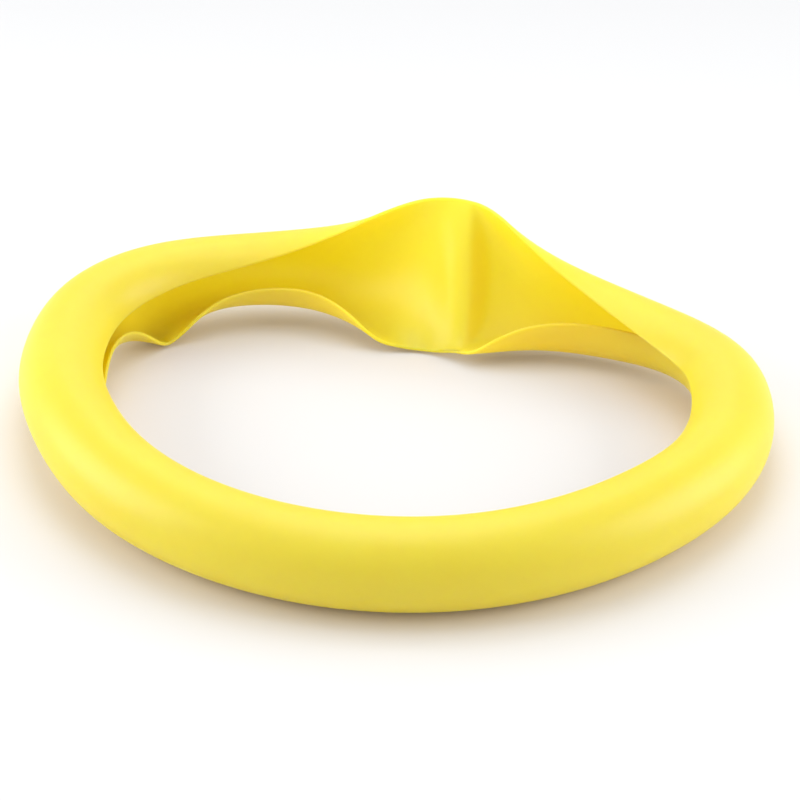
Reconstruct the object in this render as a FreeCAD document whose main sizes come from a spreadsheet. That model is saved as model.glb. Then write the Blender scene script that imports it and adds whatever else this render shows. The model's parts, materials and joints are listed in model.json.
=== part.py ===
"""Soft channel ring, one seamless moulding, lying on a flat surface.

The ring is a thin sheet rolled into a C-section channel whose slot faces the
middle of the ring.  Over the back stretch the channel has opened out and popped
towards the middle, so that the sheet stands there as a tall crest with a ridge.

The moulding has no joint or seam.  It is divided here into named stretches that
meet face to face on shared stations, so that each stretch stays an open channel.
A station is an upright cut across the sheet.  It has a plan angle (0 is right,
90 is back), a heading that the sheet's outer side looks along, and a section of
two arcs that run up and down from the middle of the sheet.

Lengths are in millimetres and angles in degrees.
"""
import FreeCAD
import Part
import Sketcher
import math
import os

# ---------------------------------------------------------------- driving sizes

SIZES = {
    "ring_radius": 145.0,      # ring axis to the middle of the channel
    "channel_radius": 17.6,    # middle of the channel to the middle of the wall
    "wall": 1.6,               # thickness of the sheet
    "slot_angle": 50.0,        # part of the channel's circle left open
    "front_start": 255.0,      # plan angles where the plain round stretch
    "front_end": 345.0,        # begins and ends
}

# What each station of the deformed stretch has of its own:
#   angle     plan angle of the station
#   inset     how far the sheet stands inside the ring's full reach
#   heading   direction that the outer side looks along
#   rise      height of the sheet's middle above the channel's own radius
#   tilt      how far the outer side looks up from level
#   curl_up   how far the upper half turns from the middle to its lip
#   curl_low  the same for the lower half
#   narrow    how much less the half sheet measures than in the plain channel
FIELDS = ("angle", "inset", "heading", "rise", "tilt", "curl_up", "curl_low", "narrow")

STATIONS = {
    "right":        (0.0, 8.0, 16.0, -0.5, -4.0, 160.0, 170.0, 0.0),
    "right_corner": (16.0, 26.5, 43.0, -0.5, 0.0, 137.0, 207.0, 1.5),
    "right_turn":   (32.0, 54.5, 40.0, -4.5, -23.0, 124.0, 169.0, 2.0),
    "right_back":   (46.0, 72.5, 46.0, -0.5, -28.0, 94.0, 103.0, 2.5),
    "right_flank":  (60.0, 82.0, 60.0, 7.5, -26.0, 58.0, 63.0, 7.0),
    "ridge":        (68.0, 94.0, 66.0, 13.0, -24.0, 18.0, 20.0, 10.5),
    "crest":        (75.0, 91.5, 71.0, 13.0, -23.0, 22.0, 22.0, 10.5),
    "crest_left":   (88.0, 83.0, 81.0, 8.0, -22.0, 60.0, 60.0, 8.0),
    "left_flank":   (102.0, 71.5, 95.0, 2.5, -21.0, 95.0, 104.0, 3.5),
    "left_back":    (116.0, 56.5, 105.5, 1.5, -17.0, 126.0, 152.0, 3.0),
    "left_turn":    (132.0, 37.0, 114.0, 5.0, -7.0, 153.0, 160.0, 3.5),
    "foot":         (149.5, 15.5, 130.5, 8.5, 2.0, 163.0, 106.0, 1.0),
    "left_corner":  (165.0, 2.0, 156.0, 7.5, 6.0, 160.0, 167.0, -1.5),
    "left":         (180.0, -0.5, 175.0, 5.5, 2.0, 156.0, 160.0, -1.5),
    "left_front":   (197.0, 0.0, 195.0, 5.0, 0.0, 155.0, 155.0, 0.0),
}

# Each lofted stretch, with its stations in order.  The plain round stretch ends
# in the sections "plain_end" (right) and "plain_start" (left).  The section
# "half_way" lies between "left_front" and "plain_start", in angle and in rise.
STRETCHES = {
    "right_channel":       ("plain_end", "right", "right_corner"),
    "right_back_channel":  ("right_corner", "right_turn", "right_back"),
    "right_crest_flank":   ("right_back", "right_flank", "ridge"),
    "crest_ridge":         ("ridge", "crest", "crest_left"),
    "left_crest_flank":    ("crest_left", "left_flank", "left_back"),
    "left_back_channel":   ("left_back", "left_turn"),
    "lip_foot_channel":    ("left_turn", "foot", "left_corner"),
    "left_channel":        ("left_corner", "left", "left_front"),
    "left_front_channel":  ("left_front", "half_way", "plain_start"),
}

doc = FreeCAD.newDocument("channel_ring")
sheet = doc.addObject("Spreadsheet::Sheet", "Sizes")


# ---------------------------------------------------------------- spreadsheet

def write_cell(row, alias, value):
    """Put one named number in the sheet."""
    sheet.set(f"A{row}", alias)
    sheet.set(f"B{row}", str(value))
    sheet.setAlias(f"B{row}", alias)


def fill_sheet():
    """Write the driving sizes, then one block of cells for each station."""
    row = 1
    for alias, value in SIZES.items():
        write_cell(row, alias, value)
        row += 1
    for station, values in STATIONS.items():
        for field, value in zip(FIELDS, values):
            write_cell(row, f"{station}_{field}", value)
            row += 1
    doc.recompute()


def size(alias):
    """Read a named number back from the sheet."""
    return float(sheet.get(alias))


# ---------------------------------------------------------------- sections

def plain_half_sheet():
    """Length of half the sheet in the plain channel, along its arc."""
    closed = math.radians(180 - size("slot_angle") / 2)
    return size("channel_radius") * closed


def plain_section():
    """Curl and height of the plain channel, which lies on the surface."""
    curl = 180 - size("slot_angle") / 2
    return {"rise": 0.0, "tilt": 0.0, "curl_up": curl, "curl_low": curl, "narrow": 0.0}


def section_values(name):
    """The numbers that draw one section, whether plain or deformed."""
    if name in ("plain_start", "plain_end"):
        return plain_section()
    if name == "half_way":
        return {**plain_section(), "rise": size("left_front_rise") / 2}
    return {field: size(f"{name}_{field}") for field in FIELDS}


def half_outline(values, half):
    """Three points on each face of one half of the sheet, middle to lip.

    The half is an arc of length 'reach' that turns by 'curl' away from the tilt.
    Its two faces are half a wall outside and inside that arc.
    """
    curl = math.radians(values["curl_up"] if half > 0 else values["curl_low"])
    tilt = math.radians(values["tilt"])
    reach = plain_half_sheet() - values["narrow"]
    middle_height = size("channel_radius") + values["rise"]
    radius = reach / curl
    centre = FreeCAD.Vector(-radius * math.cos(tilt), middle_height - radius * math.sin(tilt), 0)
    faces = []
    for offset in (size("wall") / 2, -size("wall") / 2):
        points = []
        for part in (0.0, 0.5, 1.0):
            angle = tilt + half * curl * part
            direction = FreeCAD.Vector(math.cos(angle), math.sin(angle), 0)
            points.append(centre + direction * (radius + offset))
        faces.append(points)
    return faces


def draw_section(sketch, values):
    """Draw the closed outline of the sheet: outer face, lip, inner face, lip."""
    upper_outer, upper_inner = half_outline(values, 1)
    lower_outer, lower_inner = half_outline(values, -1)
    sketch.addGeometry(Part.Arc(*reversed(lower_outer)))
    sketch.addGeometry(Part.Arc(*upper_outer))
    sketch.addGeometry(Part.LineSegment(upper_outer[2], upper_inner[2]))
    sketch.addGeometry(Part.Arc(*reversed(upper_inner)))
    sketch.addGeometry(Part.Arc(*lower_inner))
    sketch.addGeometry(Part.LineSegment(lower_inner[2], lower_outer[2]))


# ---------------------------------------------------------------- bodies

def origin_feature(body, role):
    """One of the body's own origin planes or axes."""
    return next(item for item in body.Origin.OriginFeatures if item.Role == role)


def station_expressions(name):
    """Sheet formulas for a station's plan angle, reach and heading."""
    reach = "(Sizes.ring_radius + Sizes.channel_radius)"
    if name == "plain_start":
        return "Sizes.front_start", reach, "Sizes.front_start"
    if name == "plain_end":
        return "(Sizes.front_end - 360)", reach, "(Sizes.front_end - 360)"
    if name == "half_way":
        between = "((Sizes.left_front_angle + Sizes.front_start) / 2)"
        return between, reach, between
    return (f"Sizes.{name}_angle", f"({reach} - Sizes.{name}_inset)", f"Sizes.{name}_heading")


def section_sketch(body, name):
    """A section in its own upright plane, placed by formulas from the sheet."""
    sketch = body.newObject("Sketcher::SketchObject", f"{body.Name}_{name}")
    sketch.AttachmentSupport = [(origin_feature(body, "XZ_Plane"), "")]
    sketch.MapMode = "FlatFace"
    angle, reach, heading = station_expressions(name)
    sketch.AttachmentOffset = FreeCAD.Placement(
        FreeCAD.Vector(), FreeCAD.Rotation(FreeCAD.Vector(0, 1, 0), 1))
    sketch.setExpression("AttachmentOffset.Base.x", f"{reach} * cos({angle} * 1 deg)")
    sketch.setExpression("AttachmentOffset.Base.z", f"-{reach} * sin({angle} * 1 deg)")
    sketch.setExpression("AttachmentOffset.Rotation.Angle", f"{heading} * 1 deg")
    draw_section(sketch, section_values(name))
    return sketch


def lofted_stretch(label, stations):
    """One stretch of the sheet, lofted through its sections."""
    body = doc.addObject("PartDesign::Body", label)
    body.Label = label
    sketches = [section_sketch(body, name) for name in stations]
    doc.recompute()
    loft = body.newObject("PartDesign::AdditiveLoft", f"{label}_loft")
    loft.Profile = sketches[0]
    loft.Sections = sketches[1:]
    loft.Ruled = False
    doc.recompute()
    return body


def plain_profile(body):
    """The plain channel's C, fully constrained and bound to the sheet."""
    sketch = body.newObject("Sketcher::SketchObject", f"{body.Name}_profile")
    sketch.AttachmentSupport = [(origin_feature(body, "XZ_Plane"), "")]
    sketch.MapMode = "FlatFace"
    ring, middle, wall = size("ring_radius"), size("channel_radius"), size("wall")
    centre = FreeCAD.Vector(ring, middle, 0)
    closed = math.radians(180 - size("slot_angle") / 2)
    arcs = []
    for radius in (middle + wall / 2, middle - wall / 2):
        circle = Part.Circle(centre, FreeCAD.Vector(0, 0, 1), radius)
        arcs.append(sketch.addGeometry(Part.ArcOfCircle(circle, -closed, closed)))
    lips = []
    for angle in (-closed, closed):
        direction = FreeCAD.Vector(math.cos(angle), math.sin(angle), 0)
        inner_end = centre + direction * (middle - wall / 2)
        outer_end = centre + direction * (middle + wall / 2)
        lips.append(sketch.addGeometry(Part.LineSegment(inner_end, outer_end)))
    return constrain_profile(sketch, arcs, lips)


def constrain_profile(sketch, arcs, lips):
    """Tie the two arcs and two lips together, then bind their sizes."""
    start, end, centre = 1, 2, 3
    outer, inner = arcs
    for lip, arc_end in zip(lips, (start, end)):
        sketch.addConstraint(Sketcher.Constraint("Coincident", lip, start, inner, arc_end))
        sketch.addConstraint(Sketcher.Constraint("Coincident", lip, end, outer, arc_end))
        sketch.addConstraint(Sketcher.Constraint("PointOnObject", inner, centre, lip))
    sketch.addConstraint(Sketcher.Constraint("Coincident", outer, centre, inner, centre))
    ring, middle, wall = size("ring_radius"), size("channel_radius"), size("wall")
    closed = math.radians(180 - size("slot_angle") / 2)
    bound = (
        (("DistanceX", inner, centre, ring), "Sizes.ring_radius * 1 mm"),
        (("DistanceY", inner, centre, middle), "Sizes.channel_radius * 1 mm"),
        (("Radius", outer, middle + wall / 2), "(Sizes.channel_radius + Sizes.wall / 2) * 1 mm"),
        (("Radius", inner, middle - wall / 2), "(Sizes.channel_radius - Sizes.wall / 2) * 1 mm"),
        (("Angle", lips[0], -closed), "(Sizes.slot_angle / 2 - 180) * 1 deg"),
        (("Angle", lips[1], closed), "(180 - Sizes.slot_angle / 2) * 1 deg"),
    )
    for arguments, formula in bound:
        index = sketch.addConstraint(Sketcher.Constraint(*arguments))
        sketch.setExpression(f"Constraints[{index}]", formula)
    return sketch


def plain_stretch(label):
    """The round front stretch: the C turned about the ring's axis."""
    body = doc.addObject("PartDesign::Body", label)
    body.Label = label
    sketch = plain_profile(body)
    doc.recompute()
    if not sketch.FullyConstrained:
        raise RuntimeError(f"{sketch.Name} isn't fully constrained")
    turn = body.newObject("PartDesign::Revolution", f"{label}_turn")
    turn.Profile = sketch
    turn.ReferenceAxis = (origin_feature(body, "Z_Axis"), [""])
    turn.setExpression("Angle", "(Sizes.front_end - Sizes.front_start) * 1 deg")
    doc.recompute()
    return body


# ---------------------------------------------------------------- build and check

def check_document():
    """Stop if any object failed, which a recompute doesn't raise."""
    for item in doc.Objects:
        if "Invalid" in item.State or "Error" in item.State:
            raise RuntimeError(f"{item.Name} failed: {item.State}")


def check_solid(body):
    """Stop unless the stretch is one valid solid."""
    shape = body.Shape
    if shape.isNull() or not shape.isValid() or len(shape.Solids) != 1:
        raise RuntimeError(f"{body.Label} is not one valid solid")


def stand_on_origin(bodies, turned):
    """Put the middle of the whole ring's underside at the origin."""
    turned.Placement = FreeCAD.Placement(
        FreeCAD.Vector(), FreeCAD.Rotation(FreeCAD.Vector(0, 0, 1), size("front_start")))
    doc.recompute()
    whole = FreeCAD.BoundBox()
    for body in bodies:
        whole.add(body.Shape.optimalBoundingBox(True, False))
    shift = FreeCAD.Vector(-whole.Center.x, -whole.Center.y, -whole.ZMin)
    for body in bodies:
        body.Placement.Base = shift
    doc.recompute()
    print(f"whole ring {whole.XLength:.1f} x {whole.YLength:.1f} x {whole.ZLength:.1f} mm,",
          f"ring axis at {shift.x:.2f}, {shift.y:.2f}, lifted by {shift.z:.2f}")


fill_sheet()
front = plain_stretch("front_channel")
pieces = [front]
for stretch, stretch_stations in STRETCHES.items():
    pieces.append(lofted_stretch(stretch, stretch_stations))
check_document()
stand_on_origin(pieces, front)
check_document()

os.makedirs("parts", exist_ok=True)
for piece in pieces:
    check_solid(piece)
    piece.Shape.exportStep(f"parts/{piece.Label}.step")
    print(f"{piece.Label}: {piece.Shape.Volume / 1000:.2f} cm3")
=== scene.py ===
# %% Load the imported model
import json
import bpy
import numpy as np
from mathutils import Matrix, Vector


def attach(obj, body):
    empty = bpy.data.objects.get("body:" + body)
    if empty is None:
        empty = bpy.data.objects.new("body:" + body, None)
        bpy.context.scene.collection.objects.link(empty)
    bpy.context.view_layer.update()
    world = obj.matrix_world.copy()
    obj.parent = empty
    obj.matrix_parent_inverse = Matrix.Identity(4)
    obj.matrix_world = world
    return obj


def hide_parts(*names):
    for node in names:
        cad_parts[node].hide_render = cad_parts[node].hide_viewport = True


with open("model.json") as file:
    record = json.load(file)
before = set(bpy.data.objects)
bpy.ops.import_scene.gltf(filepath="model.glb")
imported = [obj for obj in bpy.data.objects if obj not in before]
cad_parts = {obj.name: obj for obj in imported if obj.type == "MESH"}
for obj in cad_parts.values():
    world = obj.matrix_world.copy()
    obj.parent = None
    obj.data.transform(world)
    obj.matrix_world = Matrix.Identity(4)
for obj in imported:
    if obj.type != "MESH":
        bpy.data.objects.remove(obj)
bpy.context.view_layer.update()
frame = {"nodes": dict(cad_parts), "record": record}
print("packed nodes:", sorted(frame["nodes"]))

# %% [markdown]
# # A soft channel ring in silicone rubber
#
# The real thing is one seamless moulding: a sheet 1.6 mm thick, curled into a
# channel of C section that runs right round a ring, with its slot facing the
# middle.  Over the back stretch the channel has opened out and popped inwards,
# and the sheet stands up there as a crest.
#
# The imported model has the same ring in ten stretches, so that its collision
# shapes stay open.  A moulding has no seams, so here one continuous skin
# replaces all ten.  It could be sculpted, or lofted between curves, but a
# formula is easier to correct: it gives a smooth sheet, an even wall and round
# lips, and each number in it is a length or an angle of the ring.

# %% The sizes that the plain channel is made to
MM = 0.001                # this file's lengths are in millimetres, Blender's in metres
RING_RADIUS = 145.0       # ring axis to the middle of the channel
CHANNEL_RADIUS = 17.6     # middle of the channel to the middle of the wall
WALL = 1.6                # thickness of the sheet
REACH = RING_RADIUS + CHANNEL_RADIUS

channel_mount = next(m for m in frame["record"]["mounts"] if m["name"] == "channel")
mount_x, mount_y, mount_z = np.array(channel_mount["pos_m"]) / MM
RING_AXIS = np.array([mount_x, mount_y + RING_RADIUS, mount_z - CHANNEL_RADIUS])
print("ring axis in millimetres:", np.round(RING_AXIS, 2).tolist())

# %% [markdown]
# ## Stations round the ring
#
# A bent channel can be described by cutting it across at a few places.  Each
# station is one such cut: where the middle of the sheet stands, which way it
# looks, how far it leans, and how tightly its two halves curl.  Where the
# channel is plain both halves curl by 155 degrees, and at the crest by only 30.
# Twenty-one cuts hold the whole shape, closer together where it changes quickly.
#
# The cuts from 0 to 180 degrees, and the heights from 195 to 235, were not
# measured on a ring or chosen by hand.  A separate program fitted them to the
# ring's outline, and they were rounded to half a millimetre and a whole degree.
# Then the curls and length at 0 degrees were changed, and the cut at 348 degrees
# was added, to close the slot there.

# %% The stations
# angle     plan angle of the cut: 0 is right, 90 is back
# reach     ring axis to the middle of the sheet
# heading   direction that the outer side looks along
# height    of the sheet's middle
# tilt      how far the outer side looks up from level
# up, low   how far the upper and the lower half curl from the middle to the lip
# half      length of half the sheet, measured round its curve
STATIONS = np.array([
    (0, 154.5, 16, 17.0, 0, 151, 190, 49.0),
    (16, 136.0, 43, 17.5, 8, 127, 221, 45.5),
    (32, 108.0, 39, 13.0, -23, 124, 169, 45.5),
    (46, 90.0, 46, 17.0, -28, 94, 103, 45.0),
    (60, 80.5, 60, 25.0, -26, 58, 63, 40.0),
    (74, 73.5, 70, 29.0, -24, 29, 30, 37.0),
    (88, 79.5, 81, 25.5, -22, 60, 60, 39.5),
    (102, 90.5, 95, 20.0, -21, 95, 104, 44.0),
    (116, 106.0, 106, 19.0, -17, 126, 152, 44.5),
    (132, 125.5, 114, 22.5, -7, 153, 163, 44.0),
    (148, 145.5, 129, 26.0, 2, 165, 159, 47.0),
    (165, 160.0, 156, 25.5, 6, 165, 169, 50.0),
    (180, 163.0, 175, 22.0, 2, 154, 157, 50.5),
    (195, REACH, 195, 24.0, 0, 155, 155, 47.6),
    (215, REACH, 215, 21.0, 0, 155, 155, 47.6),
    (235, REACH, 235, 19.0, 0, 155, 155, 47.6),
    (255, REACH, 255, 18.0, 0, 155, 155, 47.6),
    (285, REACH, 285, 17.6, 0, 155, 155, 47.6),
    (315, REACH, 315, 17.6, 0, 155, 155, 47.6),
    (340, REACH, 340, 17.6, 0, 155, 155, 47.6),
    (348, 160.5, 350, 17.4, 0, 150, 168, 48.5),
])
print(len(STATIONS), "stations")


# %% A closed smooth curve through the stations
def closed_spline(angles):
    """Station values at any angles, from the smooth curve that closes on itself.

    Between two stations each value is a cubic.  The bends (second derivatives) at
    the stations are chosen so that neighbouring cubics meet with the same slope,
    which gives one linear equation per station, and the last station's next
    neighbour is the first.
    """
    knots = STATIONS[:, 0]
    values = STATIONS[:, 1:].copy()
    values[:, 1] -= knots                       # heading as a turn away from the plan angle
    count = len(knots)
    step = np.diff(np.append(knots, knots[0] + 360))
    before = np.roll(step, 1)
    rise = (np.roll(values, -1, axis=0) - values) / step[:, None]
    rows = np.arange(count)
    system = np.zeros((count, count))
    system[rows, rows] = 2 * (before + step)
    system[rows, rows - 1] = before
    system[rows, (rows + 1) % count] = step
    bends = np.linalg.solve(system, 6 * (rise - np.roll(rise, 1, axis=0)))

    wrapped = np.mod(angles, 360)
    left = np.searchsorted(knots, wrapped, side="right") - 1
    right = (left + 1) % count
    width = step[left][:, None]
    t = (wrapped - knots[left])[:, None]
    u = width - t
    return (
        (bends[left] * u**3 + bends[right] * t**3) / (6 * width)
        + (values[left] / width - bends[left] * width / 6) * u
        + (values[right] / width - bends[right] * width / 6) * t
    )


check = closed_spline(np.array([0.0, 74.0, 359.999]))
print("reach at 0, 74 and 360 degrees:", np.round(check[:, 0], 2).tolist())

# %% [markdown]
# ## Two folds that the stations are too far apart to hold
#
# When the channel pops inwards the spare length of sheet has to go somewhere.
# Most of it goes into the crest, where a ridge runs from rim to rim with one
# crisp side and one gentle side.  A little is left over further round, where the
# lower lip has uncurled over a few centimetres and stands on the surface as a
# small foot.  Both are added to the smooth curve as bumps with a place and a width.

# %% The ridge and the foot
RIDGE_ANGLE, RIDGE_DEPTH, RIDGE_LEAN = 64.0, 12.0, 5.5
RIDGE_CRISP_SIDE, RIDGE_GENTLE_SIDE = 2.8, 11.0         # widths in plan degrees
CRISP_POWER, FOOT_POWER = 4, 1.6                        # higher is flatter on top, steeper beside
FOOT_ANGLE, FOOT_WIDTH, FOOT_OPENING = 149.5, 8.0, 50.0  # fitted with the stations, then rounded


def ridge_push(angle, across):
    """How far the ridge pushes the sheet inwards.

    The depth fades away from the ridge line as 1 / (1 + d^4) on the crisp side
    and as a bell curve on the gentle side, and towards both rims as 1 - across^2.
    """
    away = angle - (RIDGE_ANGLE + RIDGE_LEAN * across)
    crisp = 1 / (1 + (away / RIDGE_CRISP_SIDE) ** CRISP_POWER)
    gentle = np.exp(-((away / RIDGE_GENTLE_SIDE) ** 2))
    to_rim = 1 - across**2
    return RIDGE_DEPTH * np.where(away < 0, crisp, gentle) * to_rim


def foot_opening(angle):
    """Degrees that the lower lip uncurls by, a flat-topped bell round the foot."""
    away = np.abs((angle - FOOT_ANGLE) / FOOT_WIDTH)
    return FOOT_OPENING * np.exp(-(away**FOOT_POWER))


widest = foot_opening(np.array([FOOT_ANGLE, FOOT_ANGLE + FOOT_WIDTH]))
print("foot opens the lower lip by", np.round(widest, 1).tolist(), "degrees, middle and one width out")

# %% [markdown]
# ## The middle of the sheet as one function
#
# Every point of the sheet has two numbers: its plan angle, and how far across the
# sheet it is, from -1 at the lower lip to 1 at the upper lip.  Each half of a cut
# is an arc of known length and known turn, and an arc's end points need only a
# sine and a cosine, so the whole sheet is worked out at once with no loop.

# %% From angle and across to a point
def middle_of_sheet(angle, across):
    """Points in the middle of the wall, ring axis at the origin, in millimetres.

    In the upright plane of a cut, an arc of curvature k (turn divided by length)
    that starts at the tilt reaches out by (cos(tilt + k s) - cos(tilt)) / k and up
    by (sin(tilt + k s) - sin(tilt)) / k after a length s.  That plane stands at
    the sheet's reach from the ring axis and faces along the heading.
    """
    reach, turn, height, tilt, up, low, half = (v[:, None] for v in closed_spline(angle).T)
    angle, across = angle[:, None], across[None, :]
    tilt = np.radians(tilt)
    curl = np.radians(np.where(across > 0, up, low - foot_opening(angle)))
    bend = curl / half
    along = across * half
    outwards = (np.cos(tilt + bend * along) - np.cos(tilt)) / bend
    outwards = outwards - ridge_push(angle, across)
    upwards = (np.sin(tilt + bend * along) - np.sin(tilt)) / bend + height
    plan, heading = np.radians(angle), np.radians(angle + turn)
    x = reach * np.cos(plan) + outwards * np.cos(heading)
    y = reach * np.sin(plan) + outwards * np.sin(heading)
    return np.stack([x, y, upwards], axis=-1)


BACK_STEPS, FRONT_STEPS, ACROSS_STEPS = 400, 190, 72
around = np.concatenate([
    np.linspace(0, 180, BACK_STEPS, endpoint=False),
    np.linspace(180, 360, FRONT_STEPS, endpoint=False),
])
across = np.linspace(-1, 1, ACROSS_STEPS)
middle = middle_of_sheet(around, across)
print("sheet grid:", middle.shape, "lowest point:", round(float(middle[..., 2].min()), 2))

# %% [markdown]
# ## From a sheet with no thickness to a closed wall
#
# Solidify would thicken the sheet, but it leaves square lips.  On the moulding the
# lips are round.  So each cut becomes a closed loop: up the outer face, over the
# upper lip in a half circle, down the inner face and round the lower lip.


# %% The loop of the wall
def unit(vectors):
    """The same vectors with length 1."""
    return vectors / np.linalg.norm(vectors, axis=-1, keepdims=True)


def directions(angle, across):
    """Unit vectors up the cut and out of the sheet, by small steps of the formula."""
    step_round, step_across = 0.01, 0.001
    along_ring = middle_of_sheet(angle + step_round, across) - middle_of_sheet(
        angle - step_round, across)
    up_cut = middle_of_sheet(angle, across + step_across) - middle_of_sheet(
        angle, across - step_across)
    return unit(up_cut), unit(np.cross(along_ring, up_cut))


LIP_STEPS = 6
up_cut, outward = directions(around, across)
lip_turn = np.linspace(0, np.pi, LIP_STEPS + 2)[1:-1][None, :, None]
half_wall = WALL / 2
inset = middle.copy()                       # lips pulled in by the radius of their round
inset[:, -1] -= up_cut[:, -1] * half_wall
inset[:, 0] += up_cut[:, 0] * half_wall
outer_face = inset + outward * half_wall
inner_face = inset - outward * half_wall


def round_lip(edge, out, beyond):
    """Half a circle from the outer face over the lip to the inner face."""
    return edge[:, None] + half_wall * (
        np.cos(lip_turn) * out[:, None] + np.sin(lip_turn) * beyond[:, None])


upper_lip = round_lip(inset[:, -1], outward[:, -1], up_cut[:, -1])
lower_lip = round_lip(inset[:, 0], outward[:, 0], -up_cut[:, 0])[:, ::-1]
loops = np.concatenate([outer_face, upper_lip, inner_face[:, ::-1], lower_lip], axis=1)
loops = loops + RING_AXIS
loops[..., 2] -= loops[..., 2].min()        # the lowest point of the rubber rests on the floor
loops *= MM
print("points round the wall of one cut:", loops.shape[1])


# %% [markdown]
# The grid closes on itself both ways, like a torus, so the mesh has no edge and
# no pole.  Face corners go round so that the normals point out of the rubber.

# %% Make the skin
def closed_grid(name, points):
    """A mesh whose faces join each point to the next, round both ways."""
    rings, loop = points.shape[:2]
    index = np.arange(rings * loop).reshape(rings, loop)
    next_ring, next_loop = np.roll(index, -1, axis=0), np.roll(index, -1, axis=1)
    corner = np.roll(next_ring, -1, axis=1)
    faces = np.stack([index, next_ring, corner, next_loop], axis=-1).reshape(-1, 4)
    mesh = bpy.data.meshes.new(name)
    mesh.vertices.add(rings * loop)
    mesh.vertices.foreach_set("co", points.reshape(-1).astype(np.float32))
    mesh.loops.add(faces.size)
    mesh.loops.foreach_set("vertex_index", faces.reshape(-1).astype(np.int32))
    mesh.polygons.add(len(faces))
    mesh.polygons.foreach_set("loop_start", np.arange(0, faces.size, 4, dtype=np.int32))
    mesh.update(calc_edges=True)
    mesh.validate()
    mesh.shade_smooth()
    made = bpy.data.objects.new(name, mesh)
    bpy.context.scene.collection.objects.link(made)
    return made


ring_skin = closed_grid("ring_skin", loops)
print("ring_skin has", len(ring_skin.data.polygons), "faces")


# %% Check that the skin holds a volume
def held_volume(points):
    """Volume inside a closed grid, positive when its faces point outwards.

    Each face of four corners is two triangles, and each triangle with the origin
    makes a wedge of one sixth of (a cross b) dot c.  The wedges add up.
    """
    across_loop = np.roll(points, -1, axis=1)
    across_ring = np.roll(points, -1, axis=0)
    corner = np.roll(across_ring, -1, axis=1)
    first = np.sum(np.cross(points, across_ring) * corner)
    second = np.sum(np.cross(points, corner) * across_loop)
    return (first + second) / 6


print("rubber in the skin:", round(held_volume(loops) * 1e6, 2), "cubic centimetres")

# %% [markdown]
# ## Silicone rubber
#
# Matte silicone has a broad, weak shine and lets light deep into it, red further
# than green and green further than blue.  That is why its shaded side turns golden
# and not grey, and why light from behind glows through the thin sheet.  A plain
# base colour would do for a hard plastic, but here the light has to spread inside
# the rubber, so the shader's whole weight goes to subsurface scattering.

# %% Make the silicone
def new_node(tree, kind, **sockets):
    """A node with some of its sockets set."""
    node = tree.nodes.new(kind)
    for name, value in sockets.items():
        node.inputs[name.replace("_", " ")].default_value = value
    return node


def silicone():
    """Yellow silicone with faint mottling and a fine moulded grain."""
    material = bpy.data.materials.new("yellow_silicone")
    material.use_nodes = True
    tree = material.node_tree
    tree.nodes.clear()
    shader = new_node(tree, "ShaderNodeBsdfPrincipled", Roughness=0.42, IOR=1.43)
    shader.inputs["Subsurface Weight"].default_value = 1.0
    shader.inputs["Subsurface Radius"].default_value = (1.0, 0.85, 0.25)
    shader.inputs["Subsurface Scale"].default_value = 0.010
    place = tree.nodes.new("ShaderNodeTexCoord")
    cloud = new_node(tree, "ShaderNodeTexNoise", Scale=35.0, Detail=3.0)
    ramp = tree.nodes.new("ShaderNodeValToRGB")
    ramp.color_ramp.elements[0].position = 0.3
    ramp.color_ramp.elements[0].color = (0.96, 0.63, 0.040, 1)
    ramp.color_ramp.elements[1].position = 0.7
    ramp.color_ramp.elements[1].color = (0.98, 0.66, 0.046, 1)
    grain = new_node(tree, "ShaderNodeTexNoise", Scale=1500.0, Detail=2.0)
    bump = new_node(tree, "ShaderNodeBump", Strength=0.06, Distance=0.0002)
    output = tree.nodes.new("ShaderNodeOutputMaterial")
    link = tree.links.new
    link(place.outputs["Object"], cloud.inputs["Vector"])
    link(place.outputs["Object"], grain.inputs["Vector"])
    link(cloud.outputs["Fac"], ramp.inputs["Fac"])
    link(ramp.outputs["Color"], shader.inputs["Base Color"])
    link(grain.outputs["Fac"], bump.inputs["Height"])
    link(bump.outputs["Normal"], shader.inputs["Normal"])
    link(shader.outputs["BSDF"], output.inputs["Surface"])
    return material


ring_skin.data.materials.append(silicone())
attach(ring_skin, "root")
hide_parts(*sorted(frame["nodes"]))

# %% [markdown]
# ## A white sheet of paper to lie on
#
# The ring lies on plain white paper that runs on behind it.  One square is enough:
# it is only staging and isn't part of the model.

# %% The floor
def white_floor():
    """A square of matt white paper, far wider than the ring."""
    half_side = 4.0
    mesh = bpy.data.meshes.new("floor")
    mesh.from_pydata([(-half_side, -half_side, 0), (half_side, -half_side, 0),
                      (half_side, half_side, 0), (-half_side, half_side, 0)], [], [(0, 1, 2, 3)])
    floor = bpy.data.objects.new("floor", mesh)
    bpy.context.scene.collection.objects.link(floor)
    material = bpy.data.materials.new("white_paper")
    material.use_nodes = True
    shader = material.node_tree.nodes["Principled BSDF"]
    shader.inputs["Base Color"].default_value = (0.73, 0.73, 0.73, 1)
    shader.inputs["Roughness"].default_value = 0.9
    shader.inputs["Specular IOR Level"].default_value = 0.2
    mesh.materials.append(material)


white_floor()
print("floor laid at height 0")

# %% [markdown]
# ## Light from a studio tent
#
# A tent of white cloth lights the ring from all round, and two soft boxes stand
# low at its sides.  They brighten the outer curves of the channel, reach in under
# its upper lip, and leave the side that faces the camera a little darker.  A third
# box behind shines through the crest and a small one overhead draws the highlight
# along the top of the channel.

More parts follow.
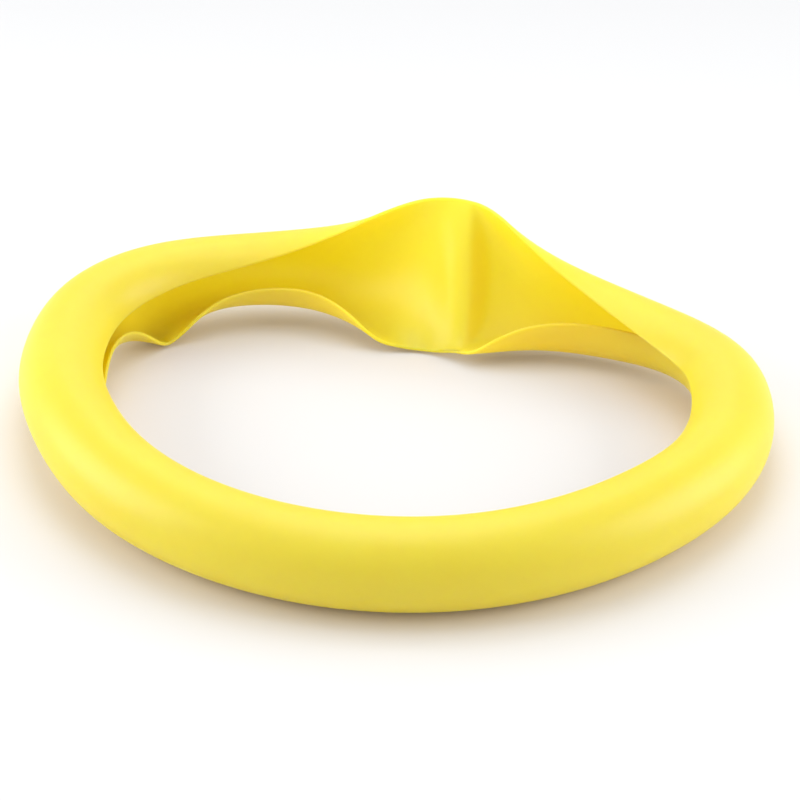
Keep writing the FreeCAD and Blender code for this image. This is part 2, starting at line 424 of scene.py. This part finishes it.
# %% The light
world = bpy.data.worlds.new("studio")
bpy.context.scene.world = world
world.use_nodes = True
world.node_tree.nodes["Background"].inputs["Color"].default_value = (0.97, 0.98, 1.0, 1)
world.node_tree.nodes["Background"].inputs["Strength"].default_value = 0.71


def soft_box(name, place, aim, width, power):
    """A square area light at a place, turned towards a point.  Metres and watts."""
    data = bpy.data.lights.new(name, "AREA")
    data.size = width
    data.energy = power
    light = bpy.data.objects.new(name, data)
    bpy.context.scene.collection.objects.link(light)
    light.location = place
    light.rotation_euler = (Vector(aim) - Vector(place)).to_track_quat("-Z", "Y").to_euler()


MIDDLE = (0, 0, 0)
soft_box("left_box", (-1.1, -0.05, 0.42), MIDDLE, width=0.8, power=8.8)
soft_box("right_box", (1.1, -0.05, 0.42), MIDDLE, width=0.8, power=8.2)
soft_box("back_box", (0, 0.8, 1.2), MIDDLE, width=1.0, power=5.0)
soft_box("top_box", (-0.03, 0, 0.62), (-0.03, 0, 0), width=0.4, power=1.0)

# %% [markdown]
# ## The camera
#
# It stands in front of the ring and looks down at about 31 degrees, a metre away
# through a long lens, so that the far side of the ring looks hardly smaller than
# the near side.  Depth of field stays off and the whole ring is sharp.

# %% The camera
ELEVATION, ROLL = 30.869, 1.0                       # degrees, fitted with the ring's outline
DISTANCE = 1056.66                                  # from the point aimed at, fitted too
AIM = RING_AXIS + np.array([-0.109, 7.397, 0.0])
LENS, SENSOR = 108, 36
rise = np.radians(ELEVATION)
towards_camera = Vector((0, -np.cos(rise), np.sin(rise)))
camera_data = bpy.data.cameras.new("camera")
camera_data.sensor_width = SENSOR
camera_data.lens = LENS
camera = bpy.data.objects.new("camera", camera_data)
bpy.context.scene.collection.objects.link(camera)
camera.location = Vector(AIM * MM) + towards_camera * DISTANCE * MM
turned = (-towards_camera).to_track_quat("-Z", "Y").to_matrix()
camera.rotation_mode = "QUATERNION"
camera.rotation_quaternion = (turned @ Matrix.Rotation(np.radians(ROLL), 3, "Z")).to_quaternion()
bpy.context.scene.camera = camera
bpy.context.scene.view_settings.view_transform = "Standard"
print("camera", round(camera.location.length, 3), "m from the origin")
